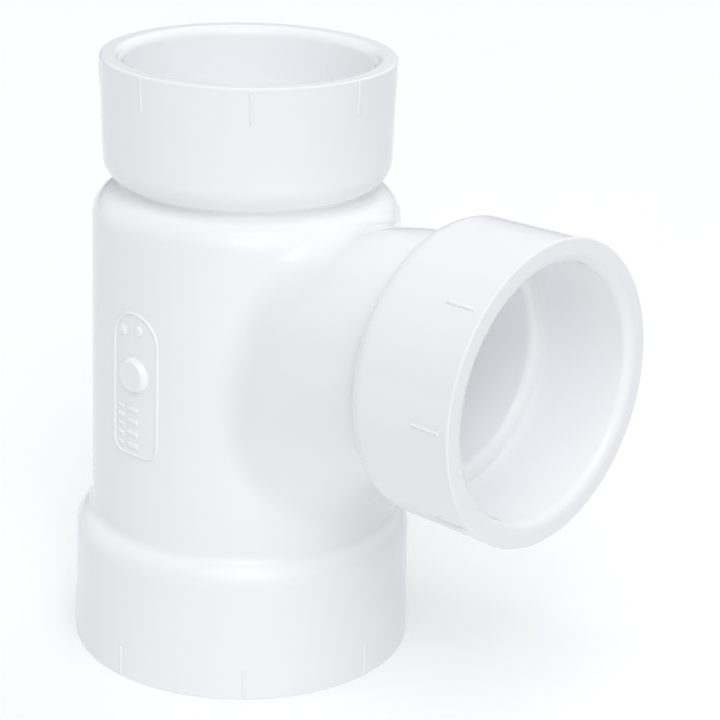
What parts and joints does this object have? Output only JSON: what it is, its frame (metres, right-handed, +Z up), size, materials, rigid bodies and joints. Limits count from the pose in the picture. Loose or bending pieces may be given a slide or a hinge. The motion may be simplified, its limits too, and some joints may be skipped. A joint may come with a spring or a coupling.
{
  "type": "pipe tee fitting",
  "caption": "White plastic drain-pipe tee: a straight run with a smaller socket on top, a larger socket below, and a side branch that sweeps down into the run.",
  "frame": {"origin": "centre of the lower socket's mouth, in the plane of the lower rim", "axes": "+Z up the run towards the smaller socket, +X out of the branch, Y across the mould's two halves, with the marking panel on the -Y side"},
  "size_m": [0.1111, 0.0698, 0.1214],
  "materials": {
    "white_pvc": "gloss"
  },
  "bodies": {
    "root": {"run_barrel": "white_pvc", "branch_neck": "white_pvc", "top_hub": "white_pvc", "bottom_hub": "white_pvc", "branch_hub": "white_pvc", "top_pipe_stop": "white_pvc", "bottom_pipe_stop": "white_pvc", "branch_pipe_stop": "white_pvc", "top_alignment_ribs": "white_pvc", "bottom_alignment_ribs": "white_pvc", "branch_alignment_ribs": "white_pvc", "gate_boss": "white_pvc", "marking_border": "white_pvc", "marking_bars": "white_pvc"}
  },
  "joints": []
}
